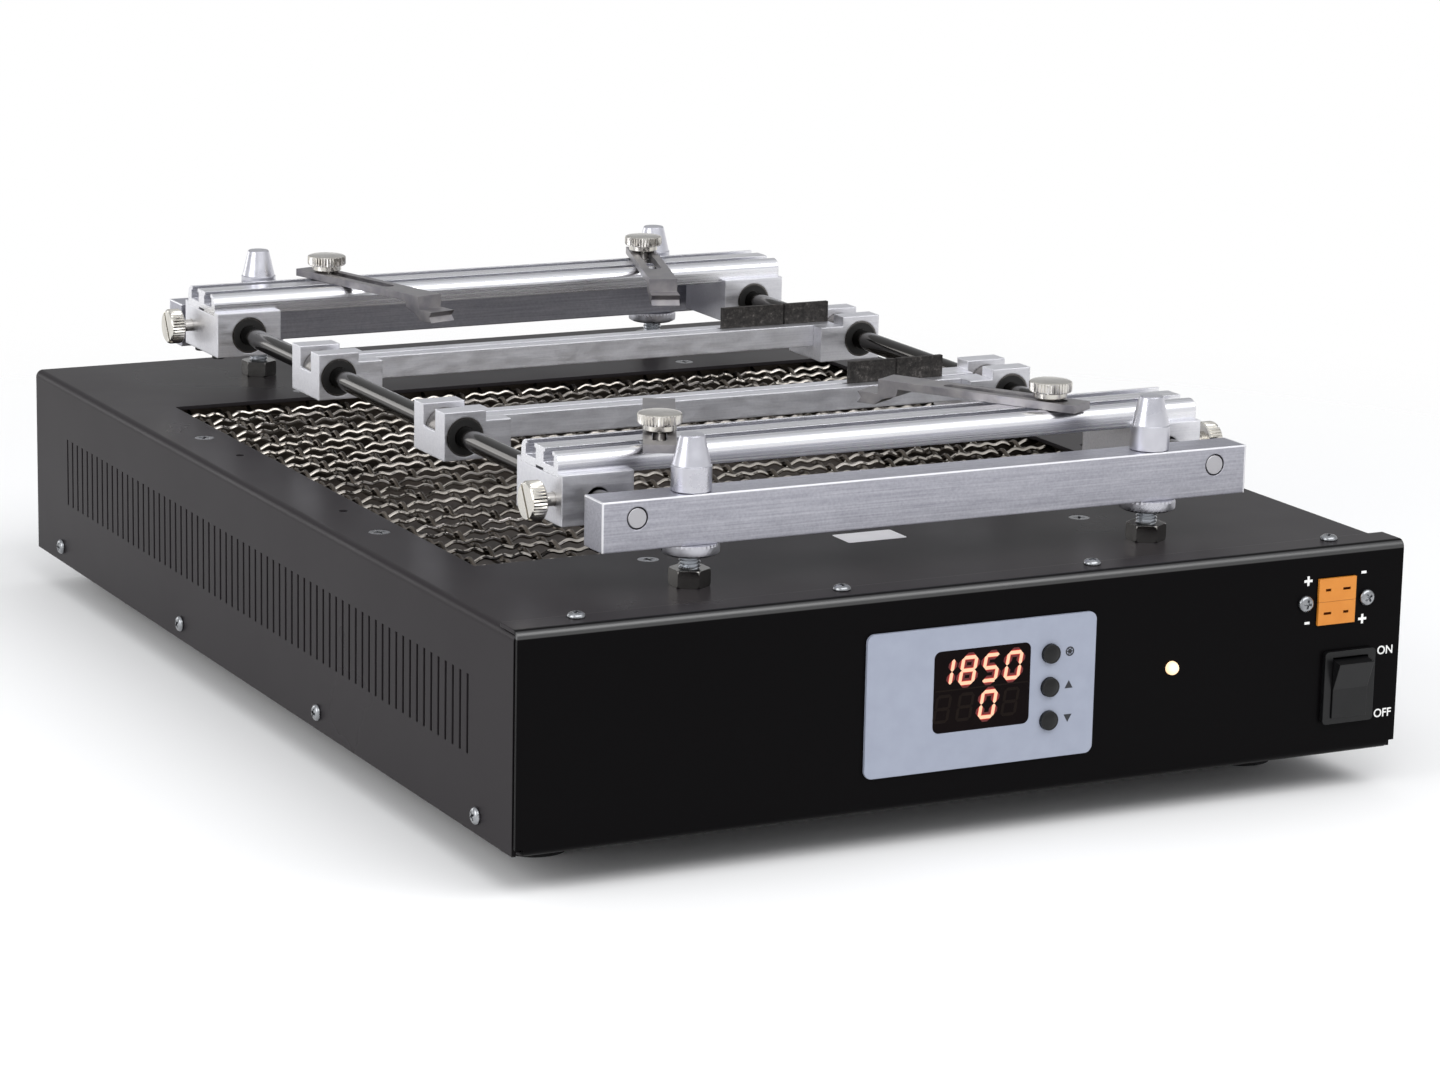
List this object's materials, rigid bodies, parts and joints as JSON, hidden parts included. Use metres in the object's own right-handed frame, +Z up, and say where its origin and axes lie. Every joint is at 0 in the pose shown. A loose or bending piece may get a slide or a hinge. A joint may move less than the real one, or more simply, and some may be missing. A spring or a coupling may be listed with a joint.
{
  "type": "pcb preheater",
  "caption": "Bench board preheater: vented sheet-metal heater box under a wire mesh deck, with a sliding rod-guided board holder.",
  "frame": {"origin": "on the bench, under the middle of the housing", "axes": "+Z up, +Y to the rear (the control panel faces -Y), +X to the right seen from the front"},
  "size_m": [0.364, 0.5089, 0.1479],
  "materials": {
    "black_paint": "satin powder coat",
    "rubber": "matte",
    "zinc_screw": "zinc plated",
    "dark_screw": "blackened",
    "mesh_wire": "heat-dulled drawn wire",
    "reflector": "heat-tinted sheet",
    "ceramic": "glazed ceramic",
    "circuit": "solder mask",
    "relay_case": "moulded",
    "fascia": "printed film",
    "display": "smoked",
    "lamp": "clear diffused",
    "socket_plastic": "moulded orange",
    "black_plastic": "moulded",
    "stud_steel": "zinc plated",
    "aluminium": "milled and brushed",
    "nickel": "nickel plated",
    "rod_chrome": "hard chromed",
    "bearing_steel": "ground",
    "rest_black": "rough black",
    "finger_steel": "bead blasted"
  },
  "bodies": {
    "housing": {"base_tray": "black_paint", "front_panel": "black_paint", "top_cover": "black_paint", "rubber_feet": "rubber", "cover_screws": "zinc_screw", "flush_screws": "dark_screw", "heater_mesh": "mesh_wire", "reflector_pan": "reflector", "heater_rails": "reflector", "ceramic_heaters": "ceramic", "control_board": "circuit", "power_relay": "relay_case", "fascia_plate": "fascia", "display_window": "display", "status_lamp": "lamp", "sensor_sockets": "socket_plastic", "switch_housing": "black_plastic", "power_inlet": "black_plastic", "post_studs": "stud_steel"},
    "menu_button": {"menu_button": "black_plastic"},
    "up_button": {"up_button": "black_plastic"},
    "down_button": {"down_button": "black_plastic"},
    "switch_rocker": {"switch_rocker": "black_plastic"},
    "frame": {"end_bars": "aluminium", "guide_rods": "rod_chrome"},
    "front_left_nuts": {"front_left_nuts": "aluminium"},
    "front_right_nuts": {"front_right_nuts": "aluminium"},
    "rear_left_nuts": {"rear_left_nuts": "aluminium"},
    "rear_right_nuts": {"rear_right_nuts": "aluminium"},
    "rear_clamp": {"rear_clamp_blocks": "aluminium", "rear_clamp_profile": "aluminium", "rear_clamp_bearings": "bearing_steel"},
    "front_clamp": {"front_clamp_blocks": "aluminium", "front_clamp_profile": "aluminium", "front_clamp_bearings": "bearing_steel"},
    "rear_support": {"rear_support_blocks": "aluminium", "rear_support_bar": "aluminium", "rear_support_bearings": "bearing_steel"},
    "front_support": {"front_support_blocks": "aluminium", "front_support_bar": "aluminium", "front_support_bearings": "bearing_steel"},
    "rear_rests": {"rear_rests": "rest_black"},
    "front_rests": {"front_rests": "rest_black"},
    "rear_left_lock": {"rear_left_lock": "nickel"},
    "rear_left_slot_nut": {"rear_left_slot_nut": "stud_steel"},
    "rear_left_finger": {"rear_left_finger": "finger_steel"},
    "rear_left_screw": {"rear_left_screw": "nickel"},
    "rear_right_lock": {"rear_right_lock": "nickel"},
    "rear_right_slot_nut": {"rear_right_slot_nut": "stud_steel"},
    "rear_right_finger": {"rear_right_finger": "finger_steel"},
    "rear_right_screw": {"rear_right_screw": "nickel"},
    "front_left_lock": {"front_left_lock": "nickel"},
    "front_left_slot_nut": {"front_left_slot_nut": "stud_steel"},
    "front_left_finger": {"front_left_finger": "finger_steel"},
    "front_left_screw": {"front_left_screw": "nickel"},
    "front_right_lock": {"front_right_lock": "nickel"},
    "front_right_slot_nut": {"front_right_slot_nut": "stud_steel"},
    "front_right_finger": {"front_right_finger": "finger_steel"},
    "front_right_screw": {"front_right_screw": "nickel"}
  },
  "joints": [
    {"name": "menu_press", "type": "slide", "parent": "housing", "child": "menu_button", "axis": [0, 1, 0], "range_m": [0, 0.0008], "stiffness_N_per_m": 500, "springref_m": -0.0004},
    {"name": "up_press", "type": "slide", "parent": "housing", "child": "up_button", "axis": [0, 1, 0], "range_m": [0, 0.0008], "stiffness_N_per_m": 500, "springref_m": -0.0004},
    {"name": "down_press", "type": "slide", "parent": "housing", "child": "down_button", "axis": [0, 1, 0], "range_m": [0, 0.0008], "stiffness_N_per_m": 500, "springref_m": -0.0004},
    {"name": "power_rocker", "type": "hinge", "parent": "housing", "child": "switch_rocker", "pos_m": [0.1578, -0.25, 0.0413], "axis": [1, 0, 0], "range_deg": [-20, 0]},
    {"name": "frame_lift", "type": "slide", "parent": "housing", "child": "frame", "axis": [0, 0, 1], "range_m": [-0.005, 0.0075]},
    {"name": "front_left_nuts_turn", "type": "hinge", "parent": "frame", "child": "front_left_nuts", "pos_m": [-0.0943, -0.207, 0.118], "axis": [0, 0, 1], "range_deg": [-1441, 2161]},
    {"name": "front_right_nuts_turn", "type": "hinge", "parent": "frame", "child": "front_right_nuts", "pos_m": [0.0943, -0.207, 0.118], "axis": [0, 0, 1], "range_deg": [-1441, 2161]},
    {"name": "rear_left_nuts_turn", "type": "hinge", "parent": "frame", "child": "rear_left_nuts", "pos_m": [-0.0943, 0.207, 0.118], "axis": [0, 0, 1], "range_deg": [-1441, 2161]},
    {"name": "rear_right_nuts_turn", "type": "hinge", "parent": "frame", "child": "rear_right_nuts", "pos_m": [0.0943, 0.207, 0.118], "axis": [0, 0, 1], "range_deg": [-1441, 2161]},
    {"name": "rear_clamp_slide", "type": "slide", "parent": "frame", "child": "rear_clamp", "axis": [0, 1, 0], "range_m": [-0.02, 0.0055]},
    {"name": "front_clamp_slide", "type": "slide", "parent": "frame", "child": "front_clamp", "axis": [0, 1, 0], "range_m": [-0.005, 0.02]},
    {"name": "rear_support_slide", "type": "slide", "parent": "frame", "child": "rear_support", "axis": [0, 1, 0], "range_m": [-0.047, 0.018]},
    {"name": "front_support_slide", "type": "slide", "parent": "frame", "child": "front_support", "axis": [0, 1, 0], "range_m": [-0.025, 0.047]},
    {"name": "rear_rests_slide", "type": "slide", "parent": "rear_support", "child": "rear_rests", "axis": [1, 0, 0], "range_m": [-0.15, 0]},
    {"name": "front_rests_slide", "type": "slide", "parent": "front_support", "child": "front_rests", "axis": [1, 0, 0], "range_m": [-0.14, 0.015]},
    {"name": "rear_left_lock_turn", "type": "hinge", "parent": "rear_clamp", "child": "rear_left_lock", "pos_m": [-0.138, 0.1865, 0.1205], "axis": [1, 0, 0], "continuous": true},
    {"name": "rear_right_lock_turn", "type": "hinge", "parent": "rear_clamp", "child": "rear_right_lock", "pos_m": [0.138, 0.1865, 0.1205], "axis": [1, 0, 0], "continuous": true},
    {"name": "front_left_lock_turn", "type": "hinge", "parent": "front_clamp", "child": "front_left_lock", "pos_m": [-0.138, -0.1754, 0.1205], "axis": [1, 0, 0], "continuous": true},
    {"name": "front_right_lock_turn", "type": "hinge", "parent": "front_clamp", "child": "front_right_lock", "pos_m": [0.138, -0.1754, 0.1205], "axis": [1, 0, 0], "continuous": true},
    {"name": "rear_left_nut_slide", "type": "slide", "parent": "rear_clamp", "child": "rear_left_slot_nut", "axis": [1, 0, 0], "range_m": [-0.04, 0.06]},
    {"name": "rear_left_finger_swing", "type": "hinge", "parent": "rear_left_slot_nut", "child": "rear_left_finger", "pos_m": [-0.073, 0.182, 0.138], "axis": [0, 0, 1], "range_deg": [-55, 25]},
    {"name": "rear_left_screw_turn", "type": "hinge", "parent": "rear_left_slot_nut", "child": "rear_left_screw", "pos_m": [-0.073, 0.182, 0.143], "axis": [0, 0, 1], "continuous": true},
    {"name": "rear_right_nut_slide", "type": "slide", "parent": "rear_clamp", "child": "rear_right_slot_nut", "axis": [1, 0, 0], "range_m": [-0.06, 0.036]},
    {"name": "rear_right_finger_swing", "type": "hinge", "parent": "rear_right_slot_nut", "child": "rear_right_finger", "pos_m": [0.077, 0.182, 0.138], "axis": [0, 0, 1], "range_deg": [-21, 59]},
    {"name": "rear_right_screw_turn", "type": "hinge", "parent": "rear_right_slot_nut", "child": "rear_right_screw", "pos_m": [0.077, 0.182, 0.143], "axis": [0, 0, 1], "continuous": true},
    {"name": "front_left_nut_slide", "type": "slide", "parent": "front_clamp", "child": "front_left_slot_nut", "axis": [1, 0, 0], "range_m": [-0.024, 0.06]},
    {"name": "front_left_finger_swing", "type": "hinge", "parent": "front_left_slot_nut", "child": "front_left_finger", "pos_m": [-0.089, -0.1709, 0.138], "axis": [0, 0, 1], "range_deg": [-14, 66]},
    {"name": "front_left_screw_turn", "type": "hinge", "parent": "front_left_slot_nut", "child": "front_left_screw", "pos_m": [-0.089, -0.1709, 0.143], "axis": [0, 0, 1], "continuous": true},
    {"name": "front_right_nut_slide", "type": "slide", "parent": "front_clamp", "child": "front_right_slot_nut", "axis": [1, 0, 0], "range_m": [-0.06, 0.04]},
    {"name": "front_right_finger_swing", "type": "hinge", "parent": "front_right_slot_nut", "child": "front_right_finger", "pos_m": [0.073, -0.1709, 0.138], "axis": [0, 0, 1], "range_deg": [-71, 9]},
    {"name": "front_right_screw_turn", "type": "hinge", "parent": "front_right_slot_nut", "child": "front_right_screw", "pos_m": [0.073, -0.1709, 0.143], "axis": [0, 0, 1], "continuous": true}
  ],
  "couplings": [
    {"joint": "rear_left_nuts_turn", "follows": "frame_lift", "rad_per_m": 5026.5},
    {"joint": "rear_right_nuts_turn", "follows": "frame_lift", "rad_per_m": 5026.5},
    {"joint": "front_left_nuts_turn", "follows": "frame_lift", "rad_per_m": 5026.5},
    {"joint": "front_right_nuts_turn", "follows": "frame_lift", "rad_per_m": 5026.5}
  ]
}
